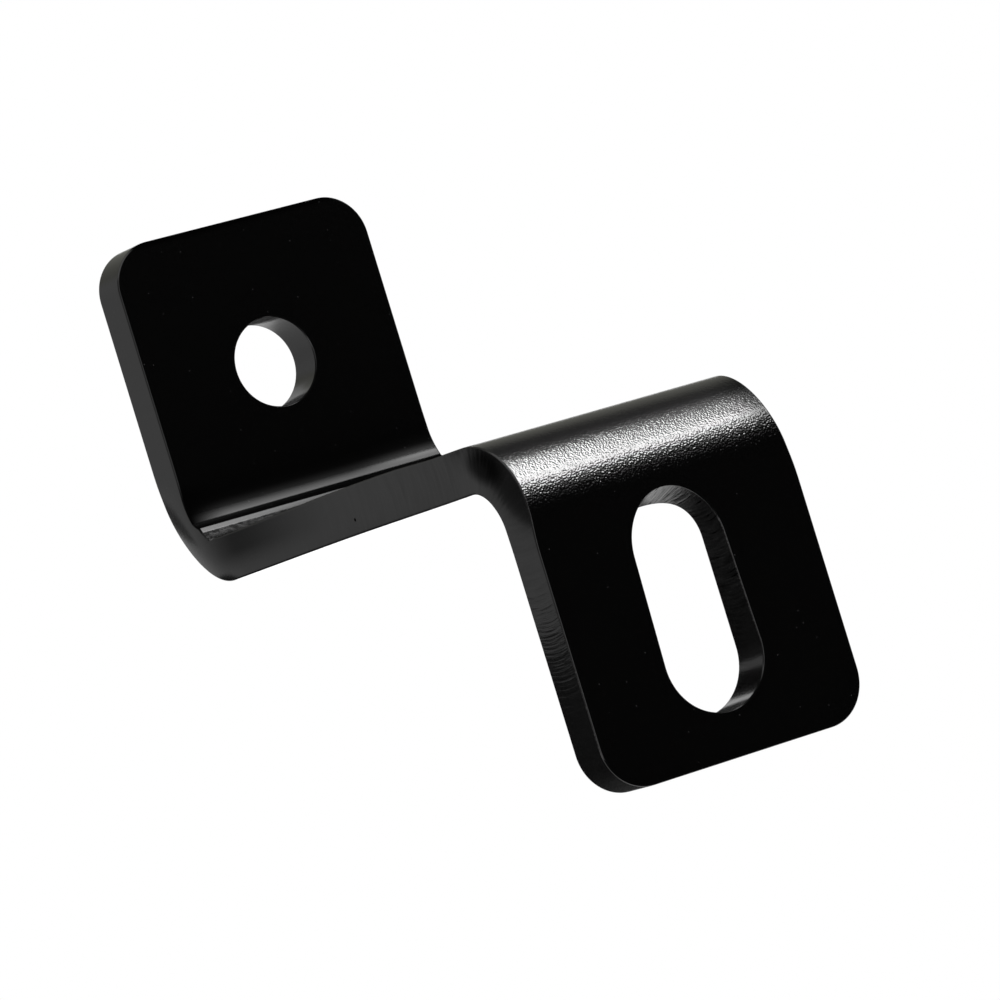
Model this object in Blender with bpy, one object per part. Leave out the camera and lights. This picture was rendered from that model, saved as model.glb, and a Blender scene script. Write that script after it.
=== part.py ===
"""A mounting bracket: one thick steel flat bar, punched, folded twice into a Z and coated black.

The bar is made flat first, as it is in the shop, with its rounded corners, round hole and slot.
It is then folded up at one end of the web and down at the other.
X runs along the fold lines, Y along the web from the slotted flange to the drilled one, and Z up.
The origin is the middle of the bracket's bounding box. Lengths are in metres.
"""

import math

import bmesh
import bpy
from mathutils import Vector

# The flat bar
BAR_WIDTH = 0.0400
BAR_THICKNESS = 0.0060
EDGE_RADIUS = 0.00035
CORNER_RADIUS = 0.0062

# The folded form, measured from the top of the web
UPPER_HEIGHT = 0.0414
LOWER_DEPTH = 0.0468
FACE_OFFSET = 0.0833
UPPER_INSIDE_RADIUS = 0.0067
LOWER_INSIDE_RADIUS = 0.0053

# The round hole in the upper flange and the slot in the lower one
HOLE_DIAMETER = 0.0123
HOLE_HEIGHT = 0.0212
SLOT_WIDTH = 0.0145
SLOT_LENGTH = 0.0289
SLOT_END_MARGIN = 0.0059

# What folding does to the cut edges: they draw in outside each bend and swell inside it
OUTSIDE_DRAW = 0.00086
INSIDE_SWELL = 0.00024
DRAW_REACH = 0.0044

# How finely the round forms are divided
CORNER_STEPS = 8
HOLE_STEPS = 48
BEND_STEPS = 12
REACH_STEPS = 2
EDGE_STEPS = 2
DRAW_POWER = 3
DRAW_CUTS = (0.96, 0.86, 0.70, 0.45)

COAT_COLOUR = (0.012, 0.012, 0.012, 1.0)
COAT_ROUGHNESS = 0.22
SMOOTH_ANGLE = math.radians(32)
WELD_DISTANCE = 1e-7
CUT_TOLERANCE = 0.00002
SQUARE = math.pi / 2

# Positions along the bar's middle layer, from the free end of the lower flange
MIDDLE = BAR_THICKNESS / 2
LOWER_OUTSIDE_RADIUS = LOWER_INSIDE_RADIUS + BAR_THICKNESS
LOWER_MIDDLE_RADIUS = LOWER_INSIDE_RADIUS + MIDDLE
UPPER_MIDDLE_RADIUS = UPPER_INSIDE_RADIUS + MIDDLE
LOWER_BEND_START = LOWER_DEPTH - LOWER_OUTSIDE_RADIUS
LOWER_BEND_END = LOWER_BEND_START + LOWER_MIDDLE_RADIUS * SQUARE
WEB_FLAT = FACE_OFFSET - UPPER_INSIDE_RADIUS - LOWER_OUTSIDE_RADIUS
UPPER_BEND_START = LOWER_BEND_END + WEB_FLAT
UPPER_BEND_END = UPPER_BEND_START + UPPER_MIDDLE_RADIUS * SQUARE
BAR_LENGTH = UPPER_BEND_END + UPPER_HEIGHT - UPPER_INSIDE_RADIUS
HOLE_CENTRE = UPPER_BEND_END + HOLE_HEIGHT - UPPER_INSIDE_RADIUS

# The middle of the folded bracket, with the web's top at height 0 and the lower front face at 0
CENTRE = Vector((0, (FACE_OFFSET + BAR_THICKNESS) / 2, (UPPER_HEIGHT - LOWER_DEPTH) / 2))


def clear_scene():
    for thing in list(bpy.data.objects):
        bpy.data.objects.remove(thing, do_unlink=True)


def arc(centre, radius, start, end, steps):
    """Points on an arc about centre, both ends included."""
    angles = [start + (end - start) * step / steps for step in range(steps + 1)]
    return [(centre[0] + radius * math.cos(a), centre[1] + radius * math.sin(a)) for a in angles]


def bar_outline():
    """The bar's outline, counter-clockwise, with its four rounded corners."""
    half = BAR_WIDTH / 2 - CORNER_RADIUS
    low, high = CORNER_RADIUS, BAR_LENGTH - CORNER_RADIUS
    corners = ((-half, low, 2), (half, low, 3), (half, high, 0), (-half, high, 1))
    points = []
    for x, y, quarter in corners:
        start = quarter * SQUARE
        points += arc((x, y), CORNER_RADIUS, start, start + SQUARE, CORNER_STEPS)
    return points


def hole_outline():
    """The round hole, clockwise, so that it is cut out of the bar."""
    return arc((0, HOLE_CENTRE), HOLE_DIAMETER / 2, 2 * math.pi, 0, HOLE_STEPS)[:-1]


def slot_outline():
    """The slot with its two round ends, clockwise."""
    radius = SLOT_WIDTH / 2
    low = SLOT_END_MARGIN + radius
    high = SLOT_END_MARGIN + SLOT_LENGTH - radius
    half_turn = HOLE_STEPS // 2
    top = arc((0, high), radius, math.pi, 0, half_turn)
    bottom = arc((0, low), radius, 0, -math.pi, half_turn)
    return top + bottom


def add_loop(curve, points):
    spline = curve.splines.new("POLY")
    spline.points.add(len(points) - 1)
    for target, (x, y) in zip(spline.points, points):
        target.co = (x, y, 0, 1)
    spline.use_cyclic_u = True


def flat_bar():
    """The punched bar lying flat: X across, Y along it, Z through its thickness."""
    curve = bpy.data.curves.new("flat_bar", "CURVE")
    curve.dimensions = "2D"
    curve.fill_mode = "BOTH"
    curve.extrude = MIDDLE - EDGE_RADIUS
    curve.bevel_depth = EDGE_RADIUS
    curve.bevel_resolution = EDGE_STEPS
    curve.offset = -EDGE_RADIUS
    for outline in (bar_outline(), hole_outline(), slot_outline()):
        add_loop(curve, outline)
    blank = bpy.data.objects.new("flat_bar", curve)
    bpy.context.scene.collection.objects.link(blank)
    evaluated = blank.evaluated_get(bpy.context.evaluated_depsgraph_get())
    mesh = bpy.data.meshes.new_from_object(evaluated)
    bpy.data.objects.remove(blank, do_unlink=True)
    return mesh


def cut_across(bm, faces, point, normal):
    """Adds a row of edges where a plane crosses the given faces."""
    edges = {edge for face in faces for edge in face.edges}
    corners = {corner for face in faces for corner in face.verts}
    geometry = list(corners) + list(edges) + list(faces)
    bmesh.ops.bisect_plane(bm, geom=geometry, dist=CUT_TOLERANCE, plane_co=point, plane_no=normal)


def add_bend_rows(bm, start, end):
    """Rows of edges across the bar, so that it can follow a bend from start to end."""
    steps = [start + (end - start) * step / BEND_STEPS for step in range(BEND_STEPS + 1)]
    for step in range(1, REACH_STEPS + 1):
        steps += [start - DRAW_REACH * step / REACH_STEPS, end + DRAW_REACH * step / REACH_STEPS]
    for place in steps:
        cut_across(bm, bm.faces[:], (0, place, 0), (0, 1, 0))
    low, high = min(steps), max(steps)
    for share in DRAW_CUTS:
        for side in (-1, 1):
            near = [f for f in bm.faces if low < f.calc_center_median().y < high]
            cut_across(bm, near, (side * share * BAR_WIDTH / 2, 0, 0), (1, 0, 0))


def draw_at(place, start, end):
    """How much of a bend's pull is felt at a place along the bar, from 0 to 1."""
    middle = (start + end) / 2
    reach = (end - start) / 2 + DRAW_REACH
    share = min(abs(place - middle) / reach, 1)
    return (1 + math.cos(math.pi * share)) / 2


def side_pull(across, layer, draw):
    """Moves a cut edge inward on the layer outside the bend, and outward inside it."""
    side = across / (BAR_WIDTH / 2)
    amount = OUTSIDE_DRAW if layer > 0 else INSIDE_SWELL
    return -math.copysign(abs(side) ** DRAW_POWER, side) * amount * layer * draw


def fold(point):
    """Where a point of the flat bar comes to lie on the folded bracket."""
    across, place, depth = point
    layer = depth / MIDDLE
    across += side_pull(across, layer, draw_at(place, LOWER_BEND_START, LOWER_BEND_END))
    across += side_pull(across, -layer, draw_at(place, UPPER_BEND_START, UPPER_BEND_END))
    if place <= LOWER_BEND_START:
        return Vector((across, MIDDLE - depth, place - LOWER_DEPTH))
    if place < LOWER_BEND_END:
        turn = (place - LOWER_BEND_START) / LOWER_MIDDLE_RADIUS
        radius = LOWER_MIDDLE_RADIUS + depth
        y = LOWER_OUTSIDE_RADIUS - radius * math.cos(turn)
        return Vector((across, y, radius * math.sin(turn) - LOWER_OUTSIDE_RADIUS))
    if place <= UPPER_BEND_START:
        return Vector((across, LOWER_OUTSIDE_RADIUS + place - LOWER_BEND_END, depth - MIDDLE))
    if place < UPPER_BEND_END:
        turn = (place - UPPER_BEND_START) / UPPER_MIDDLE_RADIUS
        radius = UPPER_MIDDLE_RADIUS - depth
        y = FACE_OFFSET - UPPER_INSIDE_RADIUS + radius * math.sin(turn)
        return Vector((across, y, UPPER_INSIDE_RADIUS - radius * math.cos(turn)))
    height = UPPER_INSIDE_RADIUS + place - UPPER_BEND_END
    return Vector((across, FACE_OFFSET + MIDDLE - depth, height))


def coat_material():
    """Gloss black coat over the whole bracket."""
    material = bpy.data.materials.new("black_coat")
    material.use_nodes = True
    shader = material.node_tree.nodes["Principled BSDF"]
    shader.inputs["Base Color"].default_value = COAT_COLOUR
    shader.inputs["Roughness"].default_value = COAT_ROUGHNESS
    shader.inputs["Metallic"].default_value = 0.0
    return material


def make_bracket():
    mesh = flat_bar()
    bm = bmesh.new()
    bm.from_mesh(mesh)
    bmesh.ops.remove_doubles(bm, verts=bm.verts[:], dist=WELD_DISTANCE)
    add_bend_rows(bm, LOWER_BEND_START, LOWER_BEND_END)
    add_bend_rows(bm, UPPER_BEND_START, UPPER_BEND_END)
    for corner in bm.verts:
        corner.co = fold(corner.co) - CENTRE
    bmesh.ops.recalc_face_normals(bm, faces=bm.faces[:])
    bm.to_mesh(mesh)
    bm.free()
    mesh.name = "bracket"
    mesh.shade_smooth()
    mesh.set_sharp_from_angle(angle=SMOOTH_ANGLE)
    mesh.materials.append(coat_material())
    return bpy.data.objects.new("bracket", mesh)


def main():
    clear_scene()
    collection = bpy.data.collections.new("mounting_bracket")
    bpy.context.scene.collection.children.link(collection)
    collection.objects.link(make_bracket())


main()
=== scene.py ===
# %% [markdown]
# # A black steel mounting bracket, made fine enough to look at closely
#
# The bracket is one thick steel flat bar. It was cut to length with rounded corners, a round hole
# and a slot, then folded twice in a press into a Z, and coated gloss black.
# The frame that this script loads already holds the bracket as a plain solid, at its real size.
# Here the same bar is made again with more divisions, so that its bends mirror the studio without
# facets, and it gets the finish that a close view shows: the skin of the coat, the small dirt in
# it with painted glints, painted highlights and painted shade where the coat shines more or less,
# and the marks that the cutting left under it.

# %% Load the frame
import math

import bmesh
import bpy
from mathutils import Matrix, Quaternion, Vector


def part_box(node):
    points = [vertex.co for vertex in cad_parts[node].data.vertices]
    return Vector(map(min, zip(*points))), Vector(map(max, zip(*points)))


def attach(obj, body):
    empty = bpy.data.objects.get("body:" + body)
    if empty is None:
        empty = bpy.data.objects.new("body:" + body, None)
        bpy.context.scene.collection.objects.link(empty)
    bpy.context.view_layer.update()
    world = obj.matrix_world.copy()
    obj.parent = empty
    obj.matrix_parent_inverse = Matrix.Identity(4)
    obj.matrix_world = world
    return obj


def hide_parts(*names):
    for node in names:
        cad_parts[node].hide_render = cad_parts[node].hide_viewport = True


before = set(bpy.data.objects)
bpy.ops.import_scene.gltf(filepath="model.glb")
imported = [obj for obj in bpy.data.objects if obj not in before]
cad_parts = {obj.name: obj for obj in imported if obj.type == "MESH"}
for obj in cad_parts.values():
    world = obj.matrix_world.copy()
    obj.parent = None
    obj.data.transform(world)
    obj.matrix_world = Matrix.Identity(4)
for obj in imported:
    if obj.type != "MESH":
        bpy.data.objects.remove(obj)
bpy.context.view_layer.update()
low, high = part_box("bracket")
print("the solid bracket measures", [round(1000 * size, 2) for size in high - low], "mm")

# %% [markdown]
# ## The bar's sizes
#
# A press brake works from a few numbers: the bar's width and thickness, where each bend starts and
# how round it is. The overall reach and height come from the frame, so that the fine bracket is
# exactly as large as the solid one. The rest are the sizes that the bar was cut and folded to.
# Places along the bar are measured on its middle layer, from the free end of the lower flange,
# because that layer is neither stretched nor squeezed by the fold.

# %% Sizes of the folded bar
MM = 0.001
BAR_WIDTH = 40.0 * MM
BAR_THICKNESS = 6.0 * MM
EDGE_RADIUS = 0.22 * MM
CORNER_RADIUS = 6.2 * MM
UPPER_HEIGHT = 41.4 * MM
UPPER_INSIDE_RADIUS = 6.7 * MM
LOWER_INSIDE_RADIUS = 5.3 * MM

face_offset = high.y - low.y - BAR_THICKNESS
lower_depth = high.z - low.z - UPPER_HEIGHT
half_thick = BAR_THICKNESS / 2
half_wide = BAR_WIDTH / 2
quarter = math.pi / 2

lower_outside_radius = LOWER_INSIDE_RADIUS + BAR_THICKNESS
lower_middle_radius = LOWER_INSIDE_RADIUS + half_thick
upper_middle_radius = UPPER_INSIDE_RADIUS + half_thick
lower_bend = [lower_depth - lower_outside_radius]
lower_bend.append(lower_bend[0] + lower_middle_radius * quarter)
upper_bend = [lower_bend[1] + face_offset - UPPER_INSIDE_RADIUS - lower_outside_radius]
upper_bend.append(upper_bend[0] + upper_middle_radius * quarter)
bar_length = upper_bend[1] + UPPER_HEIGHT - UPPER_INSIDE_RADIUS
box_middle = Vector((0, (face_offset + BAR_THICKNESS) / 2, (UPPER_HEIGHT - lower_depth) / 2))
print("the flat bar is", round(bar_length / MM, 2), "mm long before it is folded")

# %% [markdown]
# ## The flat blank
#
# The blank is a flat outline with two holes in it, so a 2D curve is the natural way to draw it.
# Blender fills a closed 2D curve, cuts out the loops that lie inside it, and can extrude and round
# its edges in one go. Each loop is made only of arcs: the straight sides are what joins them.

# %% Draw the blank
HOLE_DIAMETER = 12.3 * MM
HOLE_HEIGHT = 21.2 * MM
SLOT_WIDTH = 14.5 * MM
SLOT_LENGTH = 28.9 * MM
SLOT_END_MARGIN = 5.9 * MM
ARC_STEPS = 24
EDGE_STEPS = 5

hole_centre = upper_bend[1] + HOLE_HEIGHT - UPPER_INSIDE_RADIUS
slot_low = SLOT_END_MARGIN + SLOT_WIDTH / 2
slot_high = SLOT_END_MARGIN + SLOT_LENGTH - SLOT_WIDTH / 2


def arc(centre, radius, start, end, steps=ARC_STEPS):
    """Points on an arc about centre, both ends included."""
    angles = [start + (end - start) * step / steps for step in range(steps + 1)]
    return [(centre[0] + radius * math.cos(a), centre[1] + radius * math.sin(a)) for a in angles]


def blank_outline():
    """The bar's rounded outline, counter-clockwise."""
    side = half_wide - CORNER_RADIUS
    corners = (
        (-side, CORNER_RADIUS, 2),
        (side, CORNER_RADIUS, 3),
        (side, bar_length - CORNER_RADIUS, 0),
        (-side, bar_length - CORNER_RADIUS, 1),
    )
    points = []
    for x, y, turn in corners:
        points += arc((x, y), CORNER_RADIUS, turn * quarter, (turn + 1) * quarter)
    return points


def hole_loop():
    return arc((0, hole_centre), HOLE_DIAMETER / 2, 4 * quarter, 0, 4 * ARC_STEPS)[:-1]


def slot_loop():
    top = arc((0, slot_high), SLOT_WIDTH / 2, 2 * quarter, 0, 2 * ARC_STEPS)
    bottom = arc((0, slot_low), SLOT_WIDTH / 2, 0, -2 * quarter, 2 * ARC_STEPS)
    return top + bottom


print("the slot is", round(SLOT_LENGTH / MM, 2), "mm long and drawn with", len(slot_loop()), "points")


# %% Fill the outline and round its edges
def flat_blank():
    """The blank as a mesh: X across, Y along, Z through its thickness."""
    curve = bpy.data.curves.new("flat_blank", "CURVE")
    curve.dimensions = "2D"
    curve.fill_mode = "BOTH"
    curve.extrude = half_thick - EDGE_RADIUS
    curve.bevel_depth = EDGE_RADIUS
    curve.bevel_resolution = EDGE_STEPS
    curve.offset = -EDGE_RADIUS
    for points in (blank_outline(), hole_loop(), slot_loop()):
        spline = curve.splines.new("POLY")
        spline.points.add(len(points) - 1)
        for target, (x, y) in zip(spline.points, points):
            target.co = (x, y, 0, 1)
        spline.use_cyclic_u = True
    holder = bpy.data.objects.new("flat_blank", curve)
    bpy.context.scene.collection.objects.link(holder)
    evaluated = holder.evaluated_get(bpy.context.evaluated_depsgraph_get())
    mesh = bpy.data.meshes.new_from_object(evaluated)
    bpy.data.objects.remove(holder, do_unlink=True)
    return mesh


# %% [markdown]
# ## Rows to bend at
#
# A mesh can only bend where it has edges. `bisect_plane` cuts a row of edges wherever a plane
# crosses the mesh, so a stack of planes across each bend gives it its rows. Subdividing the whole
# bar would do it too, with far more faces than the flat parts need. A few cuts lengthwise
# near the edges, and a few through the thickness, let the cut sides bulge and draw in smoothly.
# The web between the bends gets wider rows, because it is bowed a little.

# %% Cut the rows
LOWER_ROWS = 40
UPPER_ROWS = 80
REACH_ROWS = 8
WEB_ROWS = 20
SIDE_CUTS = (0.985, 0.96, 0.92, 0.86, 0.78, 0.68, 0.55, 0.35)
LAYER_CUTS = (-0.6, -0.3, 0.0, 0.3, 0.6)
DRAW_REACH = 4.4 * MM
CUT_TOLERANCE = 0.004 * MM


def cut(bm, faces, point, normal):
    edges = {edge for face in faces for edge in face.edges}
    corners = {corner for face in faces for corner in face.verts}
    whole = list(corners) + list(edges) + list(faces)
    bmesh.ops.bisect_plane(bm, geom=whole, dist=CUT_TOLERANCE, plane_co=point, plane_no=normal)


def bend_rows(bm, start, end, count):
    rows = [start + (end - start) * step / count for step in range(count + 1)]
    for step in range(1, REACH_ROWS + 1):
        away = DRAW_REACH * step / REACH_ROWS
        rows += [start - away, end + away]
    for place in rows:
        cut(bm, bm.faces[:], (0, place, 0), (0, 1, 0))
    for share in SIDE_CUTS:
        for side in (-1, 1):
            near = [f for f in bm.faces if min(rows) < f.calc_center_median().y < max(rows)]
            cut(bm, near, (side * share * half_wide, 0, 0), (1, 0, 0))


def web_rows(bm):
    for row in range(1, WEB_ROWS):
        place = lower_bend[1] + (upper_bend[0] - lower_bend[1]) * row / WEB_ROWS
        cut(bm, bm.faces[:], (0, place, 0), (0, 1, 0))


row_gap = (lower_bend[1] - lower_bend[0]) / LOWER_ROWS
print("the lower bend gets a row every", round(row_gap / MM, 3), "mm")

# %% [markdown]
# ## The fold
#
# Folding is one rule that says where each point of the flat bar comes to lie. Between the bends
# it only turns the bar; inside a bend the distance along the bar becomes an angle about the
# bend's centre. Thick bar does one thing more: outside the bend the steel is stretched and its cut
# edges draw in, and inside it is squeezed and they swell out. That keystone section is easy to
# see on the near side of both bends.

# %% The pull of a bend
SIDE_TILT = 0.526 * MM
SIDE_CUP = 0.329 * MM
DRAW_POWER = 3


def draw_at(place, bend):
    """How much of a bend's pull is felt at a place along the bar, from 0 to 1."""
    reach = (bend[1] - bend[0]) / 2 + DRAW_REACH
    share = min(abs(place - (bend[0] + bend[1]) / 2) / reach, 1)
    return (1 + math.cos(math.pi * share)) / 2


def side_pull(across, layer, draw):
    """Moves a cut edge inward outside the bend, and outward inside it."""
    side = across / half_wide
    amount = SIDE_TILT * layer + SIDE_CUP * layer * layer
    return -math.copysign(abs(side) ** DRAW_POWER, side) * amount * draw


print("a cut edge draws in", round((SIDE_TILT + SIDE_CUP) / MM, 2), "mm outside a bend")

# %% [markdown]
# ## The bow of the web
#
# The real bar's web came out of the press bowed up by a fraction of a millimetre, its top skin more
# than the rest. It could be modelled as a new bend, but a small height added to the web is enough:
# a sine for the whole thickness, and a smooth step up and part of the way down for the skin.

# %% Bow the web
WEB_BOW = 0.15 * MM
SKIN_BOW = 0.33 * MM
SKIN_DEPTH = 1.6 * MM
END_BOW = 0.20 * MM
BOW_START = 0.08
BOW_RISE = 0.2
BOW_FALL = 0.65
FALL_WAIT = 0.5


def skin(depth):
    """1 on the web's top face, and less below it."""
    return max(1 - (half_thick - depth) / SKIN_DEPTH, 0) ** 2


def ease(share):
    share = min(max(share, 0), 1)
    return share * share * (3 - 2 * share)


def web_bow(place, depth):
    share = (place - lower_bend[1]) / (upper_bend[0] - lower_bend[1])
    top = SKIN_BOW * ease((share - BOW_START) / BOW_RISE)
    top += (END_BOW - SKIN_BOW) * ease(share / BOW_FALL - FALL_WAIT)
    return WEB_BOW * math.sin(math.pi * share) ** 2 + top * skin(depth)


web_middle = (lower_bend[1] + upper_bend[0]) / 2
print("the web's middle is bowed up", round(web_bow(web_middle, half_thick) / MM, 3), "mm")

# %% [markdown]
# ## The drag at the slot
#
# The slot ends so close to the lower bend that the fold pulls its upper end out of shape. The rim is
# dragged down on the layer inside the bend and lifted a little outside it, and the slot's sides come
# in towards each other. Moving the points of the flat bar before they are folded does all of it,
# and the pull dies away where the bend's far end begins.

# %% Drag and pinch the slot's upper end
SLOT_DRAG = 1.45 * MM
SLOT_LIFT = 0.20 * MM
SLOT_PINCH = 0.65 * MM
slot_rim = slot_high + SLOT_WIDTH / 2


def rim_share(place, start):
    """Grows from 0 at start to 1 at the slot's upper rim, and back to 0 at the bend's far end."""
    if place <= start or place >= lower_bend[1]:
        return 0
    if place < slot_rim:
        return (place - start) / (slot_rim - start)
    return (lower_bend[1] - place) / (lower_bend[1] - slot_rim)


def slot_drag(across, place, layer):
    """How far a point above the slot is dragged down, most on the layer inside the bend."""
    along = rim_share(place, slot_high)
    aside = min(abs(across) / SLOT_WIDTH, 1)
    amount = (SLOT_DRAG * (1 - layer) - SLOT_LIFT * (1 + layer)) / 2
    return amount * along * along * (1 - aside * aside) ** 2


def slot_pinch(across, place, layer):
    """How far the slot's sides come in towards its upper end, most on the layer outside the bend."""
    along = rim_share(place, slot_low)
    side = abs(across) / (SLOT_WIDTH / 2)
    share = side
    if side >= 1:
        share = max(1 - (side - 1) / (half_wide / (SLOT_WIDTH / 2) - 1), 0) ** 2
    return math.copysign(SLOT_PINCH * (1 + layer) / 2 * along * share, across)


print("the slot's rim goes down", round(slot_drag(0, slot_rim, -1) / MM, 2), "mm inside the bend")

# %% [markdown]
# ## The wrinkle in the upper bend
#
# Inside a tight bend the skin of the steel has nowhere to go. Here it has folded up into one low
# wrinkle along the whole bend, and it splits the highlight there in two. A bump in the
# material would tilt the shine, but the wrinkle is half a millimetre deep and shows on the bar's
# edge, so it is made as form. Five stretches of skin give its section, each with its start and
# end in degrees down from the flange, and how much further the skin sinks along it.

# %% The section of the wrinkle
BELLY = (8.0, 33.5, 0.14 * MM)
RIDGE = (33.5, 47.0, -0.50 * MM)
HOLLOW = (47.0, 53.0, 0.23 * MM)
SLACK = (53.0, 66.0, 0.51 * MM)
REST = (66.0, 82.0, -0.58 * MM)
SLACK_EVEN = 0.6


def passed(stretch_of_skin, down):
    """How much of one stretch lies above a place, from 0 to 1."""
    start, end, _ = stretch_of_skin
    return min(max((down - start) / (end - start), 0), 1)


def wrinkle(turn, depth):
    """How far the skin inside the upper bend is sunk below its round form, from the flange down."""
    down = 90 - math.degrees(turn)
    slack = passed(SLACK, down)
    sunk = BELLY[2] * passed(BELLY, down) ** 2
    sunk += RIDGE[2] * passed(RIDGE, down)
    sunk += HOLLOW[2] * passed(HOLLOW, down)
    sunk += SLACK[2] * (SLACK_EVEN * slack + (1 - SLACK_EVEN) * slack ** 2)
    sunk += REST[2] * ease((down - REST[0]) / (REST[1] - REST[0]))
    return sunk * skin(depth)


ridge_turn = math.radians(90 - RIDGE[1])
print("the wrinkle's ridge stands", round(-wrinkle(ridge_turn, half_thick) / MM, 2), "mm proud")

# %% [markdown]
# ## From the flat bar to the bracket
#
# Now the whole rule can be written. A point's place along the bar says which of five parts it
# belongs to: the lower flange, the lower bend, the web, the upper bend or the upper flange. Bones or
# a bend modifier could fold the mesh too, but a written rule gives each point its exact place,
# and its slope can be measured for the normals.

# %% Fold a point
def fold(point):
    """Where a point of the flat bar lies on the folded bracket."""
    across, place, depth = point
    layer = depth / half_thick
    pinch = slot_pinch(across, place, layer)
    place -= slot_drag(across, place, layer)
    across -= pinch
    across += side_pull(across, layer, draw_at(place, lower_bend))
    across += side_pull(across, -layer, draw_at(place, upper_bend))
    if place <= lower_bend[0]:
        return Vector((across, half_thick - depth, place - lower_depth)) - box_middle
    if place < lower_bend[1]:
        turn = (place - lower_bend[0]) / lower_middle_radius
        radius = lower_middle_radius + depth
        y = lower_outside_radius - radius * math.cos(turn)
        z = radius * math.sin(turn) - lower_outside_radius
        return Vector((across, y, z)) - box_middle
    if place <= upper_bend[0]:
        y = lower_outside_radius + place - lower_bend[1]
        z = depth - half_thick + web_bow(place, depth)
        return Vector((across, y, z)) - box_middle
    if place < upper_bend[1]:
        turn = (place - upper_bend[0]) / upper_middle_radius
        radius = upper_middle_radius - depth + wrinkle(turn, depth)
        y = face_offset - UPPER_INSIDE_RADIUS + radius * math.sin(turn)
        z = UPPER_INSIDE_RADIUS - radius * math.cos(turn)
        return Vector((across, y, z)) - box_middle
    z = UPPER_INSIDE_RADIUS + place - upper_bend[1]
    return Vector((across, face_offset + half_thick - depth, z)) - box_middle


hole_middle = fold((0, hole_centre, 0))
print("the hole's centre comes to", [round(v / MM, 2) for v in hole_middle], "mm")

# %% [markdown]
# ## Exact normals
#
# A gloss coat shows every flaw of the shading. Blender guesses each vertex's normal from the faces
# around it, and beside a narrow rounded edge that guess leans. The flat blank's true normals are
# known, though: straight up on its faces, straight out on its cut sides, and in between
# on its rounded edges, by how deep the vertex lies. The fold then carries each normal along, which
# takes the fold's slope in three directions, measured over a very short step.

# %% Normals on the blank, carried by the fold
SLOPE_STEP = 0.02 * MM
FLAT_RISE = 0.999
NO_LENGTH = 0.001


def blank_normal(corner):
    """The true normal of the flat blank at one of its vertices."""
    depth = corner.co.z
    rise = (abs(depth) - (half_thick - EDGE_RADIUS)) / EDGE_RADIUS
    angle = math.asin(min(max(rise, 0), 1))
    outward = Vector((corner.normal.x, corner.normal.y, 0))
    if rise > FLAT_RISE or outward.length < NO_LENGTH:
        return Vector((0, 0, math.copysign(1, depth)))
    upward = math.copysign(math.sin(angle), depth)
    return outward.normalized() * math.cos(angle) + Vector((0, 0, upward))


def folded_normal(point, normal):
    """The same normal after the fold has turned the steel around its point."""
    slopes = []
    for axis in range(3):
        step = Vector((0, 0, 0))
        step[axis] = SLOPE_STEP
        slopes.append((fold(point + step) - fold(point - step)) / (2 * SLOPE_STEP))
    return (Matrix(slopes).inverted() @ normal).normalized()


web_normal = folded_normal(Vector((0, web_middle, half_thick)), Vector((0, 0, 1)))
print("the web's top faces", [round(v, 3) for v in web_normal])

# %% [markdown]
# ## The bracket itself
#
# The blank is filled, its rows are cut and its points are folded. Some things are remembered for the
# finish: where each point lay on the flat bar, whether it is on a cut side, and how much the
# bend stretches or squeezes it. The cutting ripples and the changes of gloss can then be drawn
# on the flat bar, where they are simple, and they follow the fold by themselves. Named attributes
# of the mesh carry all of that to the material.

# %% Remember the flat bar
def keep_flat_bar(mesh, places, flat_normals):
    """Writes what the finish needs to know about each point of the flat bar."""
    mesh.attributes.new("flat_place", "FLOAT_VECTOR", "POINT")
    for name in ("cut_side", "stretch", "squeeze"):
        mesh.attributes.new(name, "FLOAT", "POINT")
    flat_place = mesh.attributes["flat_place"].data
    cut_side = mesh.attributes["cut_side"].data
    stretch = mesh.attributes["stretch"].data
    squeeze = mesh.attributes["squeeze"].data
    for index, (place, normal) in enumerate(zip(places, flat_normals)):
        layer = place.z / half_thick
        strain = layer * (draw_at(place.y, lower_bend) - draw_at(place.y, upper_bend))
        flat_place[index].vector = place
        cut_side[index].value = 1 - abs(normal.z)
        stretch[index].value = max(strain, 0)
        squeeze[index].value = max(-strain, 0)


# %% Make the bracket
WELD = 0.0001 * MM


def make_bracket():
    mesh = flat_blank()
    bm = bmesh.new()
    bm.from_mesh(mesh)
    bmesh.ops.remove_doubles(bm, verts=bm.verts[:], dist=WELD)
    bend_rows(bm, *lower_bend, LOWER_ROWS)
    bend_rows(bm, *upper_bend, UPPER_ROWS)
    web_rows(bm)
    for share in LAYER_CUTS:
        cut(bm, bm.faces[:], (0, 0, share * half_thick), (0, 0, 1))
    bmesh.ops.recalc_face_normals(bm, faces=bm.faces[:])
    bm.normal_update()
    places = [corner.co.copy() for corner in bm.verts]
    flat_normals = [blank_normal(corner) for corner in bm.verts]
    for corner, place in zip(bm.verts, places):
        corner.co = fold(place)
    bmesh.ops.recalc_face_normals(bm, faces=bm.faces[:])
    bm.to_mesh(mesh)
    bm.free()
    keep_flat_bar(mesh, places, flat_normals)
    mesh.shade_smooth()
    normals = [folded_normal(place, normal) for place, normal in zip(places, flat_normals)]
    mesh.normals_split_custom_set_from_vertices(normals)
    mesh.name = "coated_bracket"
    piece = bpy.data.objects.new("coated_bracket", mesh)
    bpy.context.scene.collection.objects.link(piece)
    return piece


bracket = make_bracket()
bracket.data.calc_loop_triangles()
print("the fine bracket has", len(bracket.data.loop_triangles), "triangles")
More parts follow.
